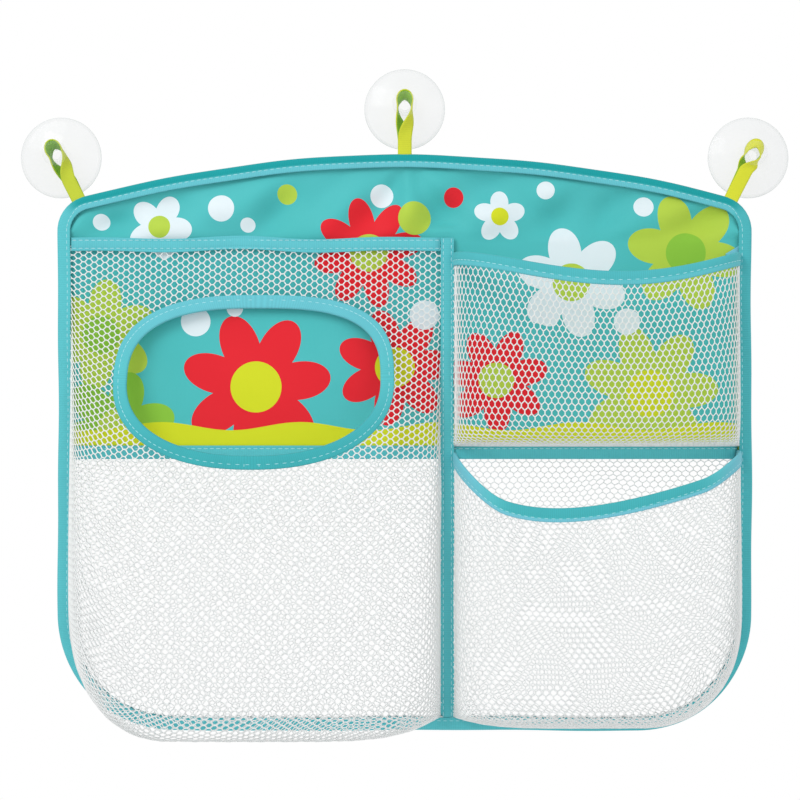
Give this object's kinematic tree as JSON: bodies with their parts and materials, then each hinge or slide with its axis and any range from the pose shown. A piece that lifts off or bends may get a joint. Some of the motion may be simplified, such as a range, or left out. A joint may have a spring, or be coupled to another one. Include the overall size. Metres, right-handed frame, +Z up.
{
  "type": "bath toy organizer",
  "caption": "Wall-hung cloth panel with a bound edge, a large net pocket with an oval mouth and smaller open net pockets beside it, hung by tape loops on clear suction cups.",
  "frame": {"origin": "middle of the centre suction cup, on the wall's surface", "axes": "+X to the right seen from the front, +Y into the wall, +Z up; the front faces -Y"},
  "size_m": [0.4754, 0.0721, 0.407],
  "materials": {
    "printed_cloth": "printed plain-weave polyester",
    "teal_tape": "folded woven binding tape",
    "white_net": "knitted polyester net",
    "lime_tape": "woven ribbed tape",
    "clear_pvc": "clear moulded PVC"
  },
  "bodies": {
    "panel": {"printed_back_panel": "printed_cloth", "drain_net_panel": "white_net", "edge_binding": "teal_tape", "waist_tape": "teal_tape", "divider_tape": "teal_tape", "left_pocket_net": "white_net", "left_pocket_top_tape": "teal_tape", "oval_mouth_binding": "teal_tape", "upper_pocket_net": "white_net", "upper_mouth_binding": "teal_tape", "lower_pocket_net": "white_net", "lower_mouth_binding": "teal_tape"},
    "left_loop": {"left_loop": "lime_tape"},
    "centre_loop": {"centre_loop": "lime_tape"},
    "right_loop": {"right_loop": "lime_tape"},
    "left_cup": {"left_suction_cup": "clear_pvc"},
    "centre_cup": {"centre_suction_cup": "clear_pvc"},
    "right_cup": {"right_suction_cup": "clear_pvc"}
  },
  "joints": [
    {"name": "left_loop_swing", "type": "hinge", "parent": "panel", "child": "left_loop", "pos_m": [-0.20109, -0.013, -0.054], "axis": [0.8988, 0, 0.4384], "range_deg": [0, 120]},
    {"name": "centre_loop_swing", "type": "hinge", "parent": "panel", "child": "centre_loop", "pos_m": [0, -0.013, -0.0267], "axis": [1, 0, 0], "range_deg": [0, 120]},
    {"name": "right_loop_swing", "type": "hinge", "parent": "panel", "child": "right_loop", "pos_m": [0.20109, -0.013, -0.054], "axis": [0.8988, 0, -0.4384], "range_deg": [0, 120]},
    {"name": "left_cup_turn", "type": "hinge", "parent": "left_loop", "child": "left_cup", "pos_m": [-0.2128, -0.013, -0.03], "axis": [0, 1, 0], "continuous": true},
    {"name": "centre_cup_turn", "type": "hinge", "parent": "centre_loop", "child": "centre_cup", "pos_m": [0, -0.013, 0], "axis": [0, 1, 0], "continuous": true},
    {"name": "right_cup_turn", "type": "hinge", "parent": "right_loop", "child": "right_cup", "pos_m": [0.2128, -0.013, -0.03], "axis": [0, 1, 0], "continuous": true}
  ]
}
